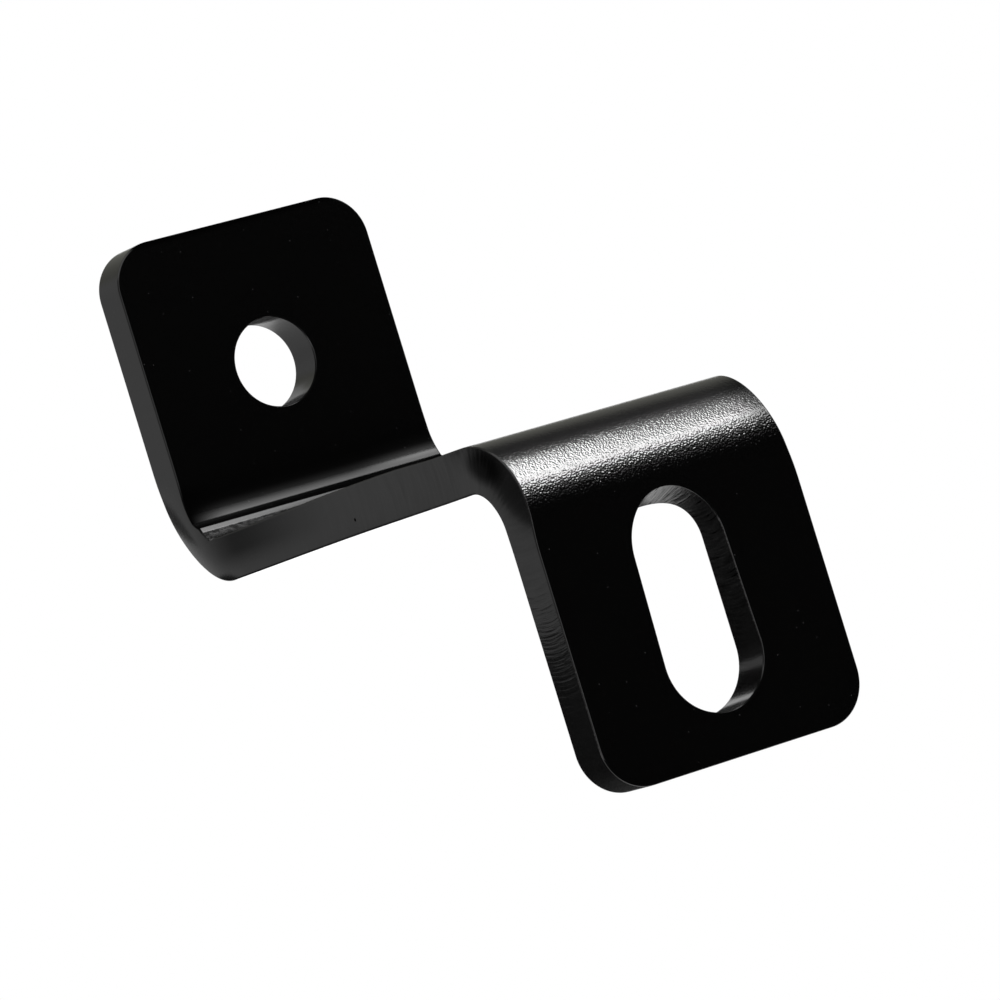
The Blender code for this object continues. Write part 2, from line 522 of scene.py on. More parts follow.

# %% [markdown]
# ## The gloss black coat
#
# Seen closely, the coat is not one smooth gloss. It has orange peel where the bend stretched
# it, ripples of the cut under it on the cut sides, painted highlights and painted shade where the
# shine is made more or less, and a few nibs of dust with painted glints. A painted picture could
# hold all that, but it would blur close up. So it is worked out from each point's place on the
# flat bar, by small nodes that the next helpers make.

# %% Helpers for a material
def add_node(tree, kind, **settings):
    node = tree.nodes.new(kind)
    for name, value in settings.items():
        setattr(node, name, value)
    return node


def set_inputs(node, values):
    for name, value in values.items():
        node.inputs[name].default_value = value
    return node


def link(tree, source, target):
    tree.links.new(source, target)


def math_node(tree, operation, *values):
    """A Math node whose inputs are numbers or other nodes' outputs."""
    node = add_node(tree, "ShaderNodeMath", operation=operation)
    for socket, value in zip(node.inputs, values):
        if isinstance(value, (int, float)):
            socket.default_value = value
        else:
            link(tree, value, socket)
    return node.outputs[0]


def product(tree, first, *others):
    """Numbers or other nodes' outputs, multiplied one after the other."""
    for other in others:
        first = math_node(tree, "MULTIPLY", first, other)
    return first


def left_over(tree, share):
    """What is left of 1 when a share of it is taken away."""
    return math_node(tree, "SUBTRACT", 1, share)


def ramp(tree, value, start, end, low=0.0, high=1.0, kind="LINEAR"):
    """Goes from low to high while value goes from start to end, and stays there."""
    node = add_node(tree, "ShaderNodeMapRange", interpolation_type=kind)
    set_inputs(node, {"From Min": start, "From Max": end, "To Min": low, "To Max": high})
    link(tree, value, node.inputs["Value"])
    return node.outputs["Result"]


# %% [markdown]
# ## Places on the flat bar
#
# Most of the finish is laid out along the bar, as it would be with a ruler: so many millimetres
# past the start of a bend, the coat shines this much. A list of marks, each a place and a value, says
# that. One ramp between each two marks, added up, gives the value everywhere.

# %% Helpers for places on the flat bar
IN_SLOT_REACH = SLOT_WIDTH * 0.6


def attribute(tree, name, output="Fac"):
    return add_node(tree, "ShaderNodeAttribute", attribute_name=name).outputs[output]


def flat_parts(tree):
    """The place on the flat bar: X across it, Y along it and Z through its thickness."""
    parts = add_node(tree, "ShaderNodeSeparateXYZ")
    link(tree, attribute(tree, "flat_place", "Vector"), parts.inputs[0])
    return parts.outputs


def marks_past(start, *marks):
    """Marks whose places are given in millimetres past a place on the bar."""
    return [(start + past * MM, value) for past, value in marks]


def along_bar(tree, marks):
    """A number that goes along the bar from one (place, value) mark to the next."""
    place = flat_parts(tree)["Y"]
    total = marks[0][1]
    for (start, before), (end, after) in zip(marks, marks[1:]):
        total = math_node(tree, "ADD", total, ramp(tree, place, start, end, 0, after - before))
    return total


def across_bar(tree, start, end, low, high):
    """A number that goes across the bar from low at one place to high at another."""
    return ramp(tree, flat_parts(tree)["X"], start, end, low, high, "SMOOTHSTEP")


def near_middle(tree):
    """1 near the bar's middle line, where the hole and the slot are, and 0 beside it."""
    aside = math_node(tree, "ABSOLUTE", flat_parts(tree)["X"])
    return math_node(tree, "LESS_THAN", aside, IN_SLOT_REACH)


def in_slot(tree):
    """1 around the slot, up to the start of the lower bend, and 0 elsewhere."""
    low = math_node(tree, "LESS_THAN", flat_parts(tree)["Y"], lower_bend[0])
    return product(tree, near_middle(tree), low)


def distance(tree, along, deep):
    """Adds up two squares: how far a point is along the bar and through its thickness."""
    return math_node(tree, "ADD", product(tree, along, along), product(tree, deep, deep))


# %% [markdown]
# ## Orange peel
#
# Orange peel is a skin of shallow dimples that breaks a highlight into sparkles. On this coat it shows
# outside the bends, where the steel under it stretched. The dimples are a quarter of a
# millimetre wide, so they go into a Bump node, which tilts the shine and moves nothing. A noise
# texture has the right irregular look, and the stretch says how much of it there is.

# %% Orange peel
PEEL_SIZE = 0.24 * MM
PEEL_HEIGHT = 0.042 * MM
PEEL_MARKS = marks_past(lower_bend[0], (1, 2.3), (4.5, 0.6))


def noise(tree, place, size, detail=1.0):
    node = add_node(tree, "ShaderNodeTexNoise")
    set_inputs(node, {"Scale": 1 / size, "Detail": detail, "Roughness": 0.5})
    link(tree, place, node.inputs["Vector"])
    return node.outputs["Fac"]


def bump(tree, height, distance, before=None):
    node = add_node(tree, "ShaderNodeBump")
    set_inputs(node, {"Strength": 1.0, "Distance": distance})
    link(tree, height, node.inputs["Height"])
    if before is not None:
        link(tree, before, node.inputs["Normal"])
    return node.outputs["Normal"]


def orange_peel(tree, place):
    """Dimples where the bend stretched the skin, and none on the cut sides."""
    dimples = noise(tree, place, PEEL_SIZE, 0.0)
    facing = left_over(tree, attribute(tree, "cut_side"))
    peel = product(tree, dimples, attribute(tree, "stretch"), facing, along_bar(tree, PEEL_MARKS))
    return bump(tree, peel, PEEL_HEIGHT)


print("the orange peel's dimples are", round(PEEL_SIZE / MM, 2), "mm wide")

# %% [markdown]
# ## Cutting ripples
#
# The cut sides keep the fine ripples of the cut, which run through the thickness and lag a little
# behind at the faces. The coat covers them thinly. The same noise does it, if the flat place is first
# squeezed through the thickness, so that the spots become long streaks. In the slot they are finer,
# and strong only towards its upper end; on the sides they fade from mid-web on.

# %% Cutting ripples
RIPPLE_SIZE = 0.42 * MM
RIPPLE_DETAIL = 2.0
RIPPLE_LENGTH = 6.0 * MM
RIPPLE_LAG = -0.35 * MM
RIPPLE_HEIGHT = 0.036 * MM
SLOT_FINER = 0.5
SIDE_RIPPLES = marks_past(lower_bend[0], (-12, 1.0), (-4, 0.6))
SIDE_RIPPLES += marks_past(lower_bend[1], (14, 0.9))
SIDE_RIPPLES += marks_past(upper_bend[0], (-14, 0.12))
SLOT_RIPPLES = marks_past(slot_low, (-2, 0.3), (7, 1.8))


def ripple_place(tree):
    """The flat place, squeezed through the thickness, and lagging a little with the depth."""
    parts = flat_parts(tree)
    layer = math_node(tree, "DIVIDE", parts["Z"], half_thick)
    lag = product(tree, layer, layer, RIPPLE_LAG)
    joined = add_node(tree, "ShaderNodeCombineXYZ")
    link(tree, parts["X"], joined.inputs["X"])
    link(tree, math_node(tree, "ADD", parts["Y"], lag), joined.inputs["Y"])
    link(tree, product(tree, parts["Z"], RIPPLE_SIZE / RIPPLE_LENGTH), joined.inputs["Z"])
    finer = add_node(tree, "ShaderNodeVectorMath", operation="SCALE")
    link(tree, joined.outputs[0], finer.inputs[0])
    scale = math_node(tree, "ADD", product(tree, in_slot(tree), SLOT_FINER), 1)
    link(tree, scale, finer.inputs["Scale"])
    return finer.outputs[0]


def ripple_share(tree):
    """How much of the cutting ripples is left at a place on the cut sides."""
    slot = product(tree, in_slot(tree), along_bar(tree, SLOT_RIPPLES))
    outside = product(tree, along_bar(tree, SIDE_RIPPLES), left_over(tree, in_slot(tree)))
    share = math_node(tree, "ADD", outside, slot)
    return product(tree, share, attribute(tree, "cut_side"))


print("the cutting ripples are", round(RIPPLE_SIZE / MM, 2), "mm apart")

# %% [markdown]
# ## Painted light along the bends
#
# Bands of painted highlight and painted shade run across each bend: the shine is raised in some
# and lowered in others. The shine of a coat is its Specular IOR Level, so a list of marks
# multiplies that. The marks follow the bands that the picture shows across each bend.

# %% Painted light along the bar
# Painted highlight and painted shade: each mark multiplies the shine at its place along the bar.
LOWER_PAINTED_SHEEN = ((0, 1.0), (0.6, 0.72), (4.0, 0.75), (5.0, 1.05), (7.5, 1.1))
WRINKLE_PAINTED_SHEEN = ((0, 1.0), (3.0, 2.4), (6.2, 2.4), (6.5, 1.8), (7.2, 1.8), (7.4, 0.1), (9.4, 0.1))
UPPER_PAINTED_SHEEN = ((9.7, 1.2), (11.1, 0.42), (11.9, 1.2), (12.7, 1.3), (15.0, 1.0))
PAINTED_SHEEN_MARKS = marks_past(lower_bend[0], *LOWER_PAINTED_SHEEN)
PAINTED_SHEEN_MARKS += marks_past(lower_bend[1], (0, 1.0))
PAINTED_SHEEN_MARKS += marks_past(upper_bend[0], *WRINKLE_PAINTED_SHEEN, *UPPER_PAINTED_SHEEN)
print("the gloss changes at", len(PAINTED_SHEEN_MARKS), "places along the bar")

# %% [markdown]
# ## Painted light across the bends
#
# The painted bands aren't even from edge to edge. Above the wrinkle a painted highlight spreads
# the glow upward at the far end, and painted shade dims it at the near one. Outside the lower bend
# painted shade dims the shine towards the far edge. Each is a list of marks along the bar times a
# smooth step across it.

# %% Painted light across the bar
# Painted highlight and painted shade across the bends, as marks along the bar.
SPREAD_RISE = ((8.9, 0.0), (9.3, 0.3), (10.2, 0.3), (11.0, 1.5), (11.9, 3.2))
SPREAD_FALL = ((12.7, 3.2), (13.6, 1.7), (15.5, 0.0))
SPREAD_MARKS = marks_past(upper_bend[0], *SPREAD_RISE, *SPREAD_FALL)
SPREAD_ACROSS = (5 * MM, 18 * MM)
NEAR_FADE_MARKS = marks_past(upper_bend[0], (9.0, 0.0), (9.6, 1.0))
NEAR_FADE_MARKS += marks_past(upper_bend[1], (0, 1.0), (2.0, 0.0))
NEAR_FADE_ACROSS = (-20.2 * MM, -13.5 * MM)
FAR_FADE_MARKS = marks_past(lower_bend[0], (0, 0.0), (3.0, 1.0))
FAR_FADE_MARKS += marks_past(lower_bend[1], (-4.0, 1.0), (0, 0.0))
FAR_FADE_ACROSS = (13.5 * MM, 20 * MM)
FAR_FADE_SHARE = 0.7


def glow_spread(tree):
    """Painted highlight: more shine above the wrinkle towards its far end, where its glow spreads
    upward.
    """
    far = across_bar(tree, *SPREAD_ACROSS, 0, 1)
    return product(tree, along_bar(tree, SPREAD_MARKS), far)


def glow_fade(tree):
    """Painted shade: less shine above the wrinkle close to the near edge."""
    near = across_bar(tree, *NEAR_FADE_ACROSS, 1, 0)
    return left_over(tree, product(tree, along_bar(tree, NEAR_FADE_MARKS), near))


def far_fade(tree):
    """Painted shade: less shine outside the lower bend close to its far edge."""
    far = across_bar(tree, *FAR_FADE_ACROSS, 0, FAR_FADE_SHARE)
    return left_over(tree, product(tree, along_bar(tree, FAR_FADE_MARKS), far))


print("the glow spreads over", round((SPREAD_MARKS[-1][0] - SPREAD_MARKS[0][0]) / MM, 1), "mm")

# %% [markdown]
# ## Blotches below the wrinkle
#
# Just below the wrinkle the shine breaks up into small bright patches on a dull ground.
# A coarser noise, cut off so that only its peaks are left, gives patches of that kind.

# %% Blotches
BLOTCH_SIZE = 0.8 * MM
BLOTCH_SHINE = 6.0
BLOTCH_PEAKS = (0.42, 0.6)
BLOTCH_MARKS = marks_past(upper_bend[0], (4.4, 0.0), (4.9, 1.0), (6.0, 1.0), (6.3, 0.0))


def blotches(tree, place):
    """Irregular shiny patches below the wrinkle."""
    patch = ramp(tree, noise(tree, place, BLOTCH_SIZE), *BLOTCH_PEAKS, 0, BLOTCH_SHINE)
    return product(tree, along_bar(tree, BLOTCH_MARKS), patch)


print("the blotches are about", round(BLOTCH_SIZE / MM, 2), "mm wide")

# %% [markdown]
# ## Painted shade
#
# In some places the shine is taken down, which paints shade on the coat. The web's side is painted
# darker towards the upper bend, most along its top edge, and so is a patch on the side of the lower
# bend. The rounded lower rims of the hole and the slot are painted dark, and so is the front rim of
# the upper flange's free end, although pale things stand behind them. Each of these gives a share of
# the shine that is left, from 0 to 1.

# %% Painted shade on the sides
# Painted shade on the web's side, darker towards the upper bend.
SIDE_SHADE_START = web_middle - 5 * MM
SIDE_SHADE_FULL = upper_bend[0] - 4 * MM
SIDE_SHADE_END = upper_bend[0] + 9 * MM
SIDE_SHADE_LAYERS = (-1.0 * half_thick, 0.3 * half_thick)
SIDE_SHADE_SHARE = 0.85
# A patch of painted shade on the side of the lower bend.
PATCH_SHADE_PLACE = lower_bend[0] + 9.0 * MM
PATCH_SHADE_DEPTH = 0.9 * MM
PATCH_SHADE_LENGTH = 4.4 * MM
PATCH_SHADE_BREADTH = 2.8 * MM
PATCH_SHADE_EDGE = (1.0, 0.1)
PATCH_SHADE_SHARE = 0.9


def side_painted_shade(tree):
    """Painted shade: less shine on the cut sides towards the upper bend, and in a patch on the lower
    bend's side.
    """
    parts = flat_parts(tree)
    before = ramp(tree, parts["Y"], SIDE_SHADE_START, SIDE_SHADE_FULL, kind="SMOOTHSTEP")
    after = ramp(tree, parts["Y"], SIDE_SHADE_END, SIDE_SHADE_FULL, kind="SMOOTHSTEP")
    above = ramp(tree, parts["Z"], *SIDE_SHADE_LAYERS, kind="SMOOTHSTEP")
    painted_shade = product(tree, before, after, above, SIDE_SHADE_SHARE)
    along = math_node(tree, "DIVIDE", math_node(tree, "SUBTRACT", parts["Y"], PATCH_SHADE_PLACE), PATCH_SHADE_LENGTH)
    deep = math_node(tree, "DIVIDE", math_node(tree, "SUBTRACT", parts["Z"], PATCH_SHADE_DEPTH), PATCH_SHADE_BREADTH)
    patch_shade = ramp(tree, distance(tree, along, deep), *PATCH_SHADE_EDGE, 0, PATCH_SHADE_SHARE, "SMOOTHSTEP")
    painted_shade = math_node(tree, "MAXIMUM", painted_shade, patch_shade)
    return left_over(tree, product(tree, painted_shade, attribute(tree, "cut_side")))


print("the shaded patch is", [round(2 * size / MM, 1) for size in (PATCH_SHADE_LENGTH, PATCH_SHADE_BREADTH)], "mm")


# %% Painted shade on the rims
# Painted shade on the rounded lower rims of the hole and the slot.
RIM_SHARE = 0.93
RIM_STARTS = (0.005, 0.03)
RIM_ENDS = (1.0, 0.8)
RIM_MARKS = marks_past(SLOT_END_MARGIN, (-2.0, 0.0), (-1.0, 1.0))
RIM_MARKS += marks_past(slot_low, (-5.0, 1.0), (-3.5, 0.0))
RIM_MARKS += marks_past(hole_centre, (-7.5, 0.0), (-6.5, 1.0), (-3.0, 1.0), (0, 0.0))
# Painted shade on the front rim of the upper flange's free end.
END_MARKS = marks_past(bar_length, (-1.0, 0.0), (-0.5, 1.0))
END_LAYERS = (2.2 * MM, 2.6 * MM)


def rim_painted_shade(tree):
    """Painted shade: less shine on the rounded lower rims of the hole and the slot."""
    rise = ramp(tree, attribute(tree, "cut_side"), *RIM_STARTS)
    fall = ramp(tree, attribute(tree, "cut_side"), *RIM_ENDS)
    lower_ends = product(tree, near_middle(tree), along_bar(tree, RIM_MARKS))
    return left_over(tree, product(tree, product(tree, rise, fall), lower_ends, RIM_SHARE))


def end_painted_shade(tree):
    """Painted shade: no shine on the front rim of the upper flange's free end."""
    front = ramp(tree, flat_parts(tree)["Z"], *END_LAYERS)
    return left_over(tree, product(tree, along_bar(tree, END_MARKS), front))


# %% [markdown]
# ## A pit in the coat
#
# On the near side of the web the coat has one tiny pit. It is too small for a hole in the mesh to be
# worth its faces, and it shows only as a dark dot, so its shade is painted: the shine is taken away
# inside a small circle. The far side of the bar has none.

# %% The pit
# Place and size of the pit's painted shade.
PIT_PLACE = lower_bend[1] + 29.4 * MM
PIT_DEPTH = -1.05 * MM
PIT_SIZE = 0.28 * MM
PIT_CORE = 0.7 * PIT_SIZE


def pit(tree):
    """Painted shade of a tiny pit in the coat of the web's near side: 0 inside it, and 1 around it."""
    parts = flat_parts(tree)
    along = math_node(tree, "SUBTRACT", parts["Y"], PIT_PLACE)
    deep = math_node(tree, "SUBTRACT", parts["Z"], PIT_DEPTH)
    away = math_node(tree, "SQRT", distance(tree, along, deep))
    far = math_node(tree, "GREATER_THAN", parts["X"], 0)
    return math_node(tree, "MAXIMUM", ramp(tree, away, PIT_CORE, PIT_SIZE), far)


print("the pit is", round(2 * PIT_SIZE / MM, 2), "mm wide")

# %% [markdown]
# ## The shine and the roughness put together
#
# The shine starts from the plain coat, falls where the skin is squeezed, and is then multiplied by
# everything above, with its painted highlights and painted shade. Along the ripples it gets painted
# light and shade too, as lighter and darker streaks, most of all in the slot. The roughness rises a
# little on the cut sides and in the stretched skin.

# %% Shine and roughness
COAT_ROUGHNESS = 0.13
SOFT_ROUGHNESS = 0.055
SIDE_ROUGHNESS = 0.05
SOFT_MARKS = marks_past(lower_bend[0], (3.4, 0.0), (5.2, SOFT_ROUGHNESS))
SOFT_MARKS += marks_past(lower_bend[1], (-3.0, SOFT_ROUGHNESS), (0, 0.0))
PLAIN_LEVEL = 0.5
SQUEEZE_LEVEL = 0.045
FULL_SQUEEZE = 0.6
RIPPLE_SHADE = 0.4
SLOT_SHADE = 1.0


def coat_roughness(tree):
    soft = product(tree, attribute(tree, "stretch"), along_bar(tree, SOFT_MARKS))
    side = product(tree, attribute(tree, "cut_side"), SIDE_ROUGHNESS)
    return math_node(tree, "ADD", math_node(tree, "ADD", soft, side), COAT_ROUGHNESS)


def painted_face_sheen(tree, place):
    """All painted highlights and painted shade on the bar's faces, as a number to multiply the shine
    by.
    """
    sheen = math_node(tree, "ADD", along_bar(tree, PAINTED_SHEEN_MARKS), glow_spread(tree))
    sheen = product(tree, sheen, glow_fade(tree), far_fade(tree))
    sheen = math_node(tree, "ADD", sheen, blotches(tree, place))
    facing = left_over(tree, attribute(tree, "cut_side"))
    change = product(tree, math_node(tree, "SUBTRACT", sheen, 1), facing)
    return math_node(tree, "ADD", change, 1)


def ripple_shading(tree, ripples, rippled):
    """Painted light and shade: lighter and darker streaks that follow the ripples, strongest in the
    slot.
    """
    uneven = product(tree, math_node(tree, "SUBTRACT", ripples, 0.5), rippled)
    depth = product(tree, in_slot(tree), 2 * SLOT_SHADE)
    depth = math_node(tree, "ADD", depth, 2 * RIPPLE_SHADE)
    return math_node(tree, "ADD", product(tree, uneven, depth), 1)


def coat_shine(tree, place, ripples, rippled):
    facing = left_over(tree, attribute(tree, "cut_side"))
    squeezed = product(tree, attribute(tree, "squeeze"), facing)
    plain = ramp(tree, squeezed, 0, FULL_SQUEEZE, PLAIN_LEVEL, SQUEEZE_LEVEL)
    faces = product(tree, plain, painted_face_sheen(tree, place))
    streaks = product(tree, faces, ripple_shading(tree, ripples, rippled))
    # Last, painted shade on the rims, in the pit and on the sides takes shine away.
    return product(
        tree, streaks, rim_painted_shade(tree), pit(tree), end_painted_shade(tree), side_painted_shade(tree)
    )


# %% [markdown]
# ## Nibs of dust, with painted glints
#
# A few specks of dust settled in the coat before it was hard. Their colour is painted a little paler
# than the coat, for their own grey and for the painted glints that their slopes would catch. Real
# specks could be scattered as tiny balls, but they hardly stand up, so only the colour
# changes. A Voronoi texture puts one dot in each of its cells, and a second number picks the few
# cells that get one.

# %% Nibs
COAT_COLOUR = 0.0007
NIB_SPACING = 1.3 * MM
NIB_SIZE = 0.08 * MM
# Paler colour of a nib: its dust, and a painted glint on it.
NIB_DUST_AND_GLINT = 0.022
NIB_CHANCE = 0.4


def nib_dust_and_glint(tree, place):
    dots = add_node(tree, "ShaderNodeTexVoronoi")
    set_inputs(dots, {"Scale": 1 / NIB_SPACING})
    link(tree, place, dots.inputs["Vector"])
    near = math_node(tree, "LESS_THAN", dots.outputs["Distance"], NIB_SIZE / NIB_SPACING)
    chance = add_node(tree, "ShaderNodeSeparateColor")
    link(tree, dots.outputs["Color"], chance.inputs[0])
    few = math_node(tree, "GREATER_THAN", chance.outputs[0], 1 - NIB_CHANCE)
    nib = product(tree, near, few, NIB_DUST_AND_GLINT)
    grey = add_node(tree, "ShaderNodeCombineColor")
    for channel in range(3):
        link(tree, math_node(tree, "ADD", nib, COAT_COLOUR), grey.inputs[channel])
    return grey.outputs[0]


print("a nib is", round(2 * NIB_SIZE / MM, 2), "mm wide")

# %% [markdown]
# ## The coat on the bracket
#
# Everything meets in one Principled shader: colour, roughness and shine each have a socket, and the
# two bumps are chained into the normal. The frame is then told that this piece is the bracket's
# own body, takes the plain solid's place, and wears the black coat.

# %% Coat the bracket
COAT_IOR = 1.6


def black_coat():
    material = bpy.data.materials.new("black_coat_fine")
    material.use_nodes = True
    tree = material.node_tree
    shader = tree.nodes["Principled BSDF"]
    set_inputs(shader, {"IOR": COAT_IOR})
    place = add_node(tree, "ShaderNodeTexCoord").outputs["Object"]
    ripples = noise(tree, ripple_place(tree), RIPPLE_SIZE, RIPPLE_DETAIL)
    rippled = ripple_share(tree)
    skin_bump = orange_peel(tree, place)
    skin_bump = bump(tree, product(tree, ripples, rippled), RIPPLE_HEIGHT, skin_bump)
    link(tree, skin_bump, shader.inputs["Normal"])
    link(tree, coat_roughness(tree), shader.inputs["Roughness"])
    shine = coat_shine(tree, place, ripples, rippled)
    # The shine carries the painted highlights and painted shade.
    link(tree, shine, shader.inputs["Specular IOR Level"])
    # Paler dots of dust in the base colour, with painted glints.
    link(tree, nib_dust_and_glint(tree, place), shader.inputs["Base Color"])
    return material


bracket.data.materials.clear()
bracket.data.materials.append(black_coat())
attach(bracket, "root")
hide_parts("bracket")
coat = bracket.data.materials[0]
print("the coat is made of", len(coat.node_tree.nodes), "nodes")

# %% [markdown]
# ## The camera
#
# The picture was taken with a long lens, almost level with the web, from the left of the bracket's
# front, and the bracket leans in it. The bracket could be tipped over to get that lean, but then it
# would leave its frame, so the camera is rolled about its own line of sight instead. Its place
# and lens come from fitting the folded bar's edges to the edges in the picture.

# %% Place the camera
CAMERA_PLACE = Vector((-0.41636, -0.68961, -0.02399))
LOOK_TURN = math.radians(-31.37)
LOOK_RISE = math.radians(1.43)
CAMERA_ROLL = math.radians(-17.08)
LENS = 222.44
SENSOR_WIDTH = 36
CLIP_START = 0.01

look = Vector((
    -math.sin(LOOK_TURN) * math.cos(LOOK_RISE),
    math.cos(LOOK_TURN) * math.cos(LOOK_RISE),
    math.sin(LOOK_RISE),
))
camera_data = bpy.data.cameras.new("camera")
camera_data.lens = LENS
camera_data.sensor_width = SENSOR_WIDTH
camera_data.clip_start = CLIP_START
camera = bpy.data.objects.new("camera", camera_data)
bpy.context.scene.collection.objects.link(camera)
unrolled = look.to_track_quat("-Z", "Y")
turned = unrolled @ Quaternion((0, 0, 1), CAMERA_ROLL)
camera.matrix_world = Matrix.Translation(CAMERA_PLACE) @ turned.to_matrix().to_4x4()
bpy.context.scene.camera = camera
print("camera right", [round(v, 4) for v in turned @ Vector((1, 0, 0))])

# %% [markdown]
# ## The white backdrop
#
# The bracket stands in front of plain white, with nothing under it. More light would burn the
# backdrop white and the bracket with it. So the world shows white only to the rays that see it, or
# its mirror image, and gives the object a grey light of its own.

# %% The world
WORLD_GREY = 0.35
WHITE = (1, 1, 1, 1)


def seen_rays(tree):
    """1 for rays that show the background itself, or its mirror image, and 0 for light."""
    path = add_node(tree, "ShaderNodeLightPath")
    seen = path.outputs["Is Camera Ray"]
    for kind in ("Is Glossy Ray", "Is Transmission Ray"):
        either = add_node(tree, "ShaderNodeMath", operation="ADD", use_clamp=True)
        link(tree, seen, either.inputs[0])
        link(tree, path.outputs[kind], either.inputs[1])
        seen = either.outputs[0]
    return seen


def make_world():
    world = bpy.data.worlds.new("studio")
    bpy.context.scene.world = world
    world.use_nodes = True
    tree = world.node_tree
    tree.nodes.clear()
    light = add_node(tree, "ShaderNodeBackground")
    set_inputs(light, {"Color": WHITE, "Strength": WORLD_GREY})
    white = add_node(tree, "ShaderNodeBackground")
    set_inputs(white, {"Color": WHITE, "Strength": 1.0})
    mix = add_node(tree, "ShaderNodeMixShader")
    link(tree, seen_rays(tree), mix.inputs[0])
    link(tree, light.outputs[0], mix.inputs[1])
    link(tree, white.outputs[0], mix.inputs[2])
    output = add_node(tree, "ShaderNodeOutputWorld")
    link(tree, mix.outputs[0], output.inputs["Surface"])


make_world()
print("the world lights the bracket with", WORLD_GREY, "of the white that it shows")

# %% [markdown]
# ## The floor
#
# A pale floor lies well below the bracket, for a little light from below and a faint shadow.
# Further out it would draw a grey line against the white, so it fades into the white there. A round
# sheet fades evenly on all sides.

# %% The pale floor
FLOOR_DEPTH = 0.16
FLOOR_REACH = 4.0
FLOOR_SEGMENTS = 96
FLOOR_COLOUR = (0.82, 0.82, 0.81, 1)
FLOOR_FADE = (0.15, 0.6)


def new_object(name, bm):
    mesh = bpy.data.meshes.new(name)
    bm.to_mesh(mesh)
    bm.free()
    thing = bpy.data.objects.new(name, mesh)
    bpy.context.scene.collection.objects.link(thing)
    return thing


def floor_material():
    material = bpy.data.materials.new("pale_floor")
    material.use_nodes = True
    tree = material.node_tree
    tree.nodes.clear()
    paper = add_node(tree, "ShaderNodeBsdfDiffuse")
    set_inputs(paper, {"Color": FLOOR_COLOUR})
    white = add_node(tree, "ShaderNodeEmission")
    set_inputs(white, {"Color": WHITE, "Strength": 1.0})
    place = add_node(tree, "ShaderNodeTexCoord").outputs["Object"]
    far = add_node(tree, "ShaderNodeVectorMath", operation="LENGTH")
    link(tree, place, far.inputs[0])
    fade = ramp(tree, far.outputs["Value"], *FLOOR_FADE, kind="SMOOTHSTEP")
    mix = add_node(tree, "ShaderNodeMixShader")
    link(tree, product(tree, fade, seen_rays(tree)), mix.inputs[0])
    link(tree, paper.outputs[0], mix.inputs[1])
    link(tree, white.outputs[0], mix.inputs[2])
    output = add_node(tree, "ShaderNodeOutputMaterial")
    link(tree, mix.outputs[0], output.inputs["Surface"])
    return material


def make_floor():
    bm = bmesh.new()
    bmesh.ops.create_circle(bm, cap_ends=True, segments=FLOOR_SEGMENTS, radius=FLOOR_REACH)
    floor = new_object("pale_floor", bm)
    floor.location = (0, 0, -FLOOR_DEPTH)
    floor.data.materials.append(floor_material())
    return floor


floor = make_floor()
print("the floor lies", round(-floor.location.z / MM), "mm below the bracket's middle")

# %% [markdown]
# ## The cards around the bracket
#
# A black gloss thing is lit by what it mirrors. In a studio, black and grey cards stand where its
# flat faces look, so that they stay dark, and a pale card draws each soft light on it.
# Lamps could do part of that, but only cards have edges, and those make the crisp borders of the
# highlights. Here the coat mirrors them, but the camera doesn't see them, and they neither light
# nor shade anything else.

# %% A card
FADE_POWER = 3
CARD_SIZE = 1.0


def card_material(name, brightness, tint=(1, 1, 1), fade=False):
    """An even glow, or one that grows towards the card's upper edge."""
    material = bpy.data.materials.new(name)
    material.use_nodes = True
    tree = material.node_tree
    tree.nodes.clear()
    glow = add_node(tree, "ShaderNodeEmission")
    set_inputs(glow, {"Color": (*tint, 1), "Strength": brightness})
    if fade:
        parts = add_node(tree, "ShaderNodeSeparateXYZ")
        link(tree, add_node(tree, "ShaderNodeTexCoord").outputs["Object"], parts.inputs[0])
        height = math_node(tree, "ADD", parts.outputs["Y"], CARD_SIZE / 2)
        share = math_node(tree, "POWER", math_node(tree, "MAXIMUM", height, 0), FADE_POWER)
        link(tree, product(tree, share, brightness), glow.inputs["Strength"])
    output = add_node(tree, "ShaderNodeOutputMaterial")
    link(tree, glow.outputs[0], output.inputs["Surface"])
    return material


def hang_card(name, middle, width, height, brightness, tint=(1, 1, 1), facing=(0, 0, 0), fade=False):
    """A flat card that the coat mirrors. It faces a point and gives and stops no light."""
    bm = bmesh.new()
    bmesh.ops.create_grid(bm, x_segments=1, y_segments=1, size=CARD_SIZE / 2)
    card = new_object(name, bm)
    middle = Vector(middle)
    towards = (Vector(facing) - middle).to_track_quat("Z", "Y").to_matrix().to_4x4()
    size = Matrix.Diagonal((width, height, 1, 1))
    card.matrix_world = Matrix.Translation(middle) @ towards @ size
    card.data.materials.append(card_material(name, brightness, tint, fade))
    card.visible_camera = False
    card.visible_diffuse = False
    card.visible_shadow = False
    card.visible_transmission = False
    return card


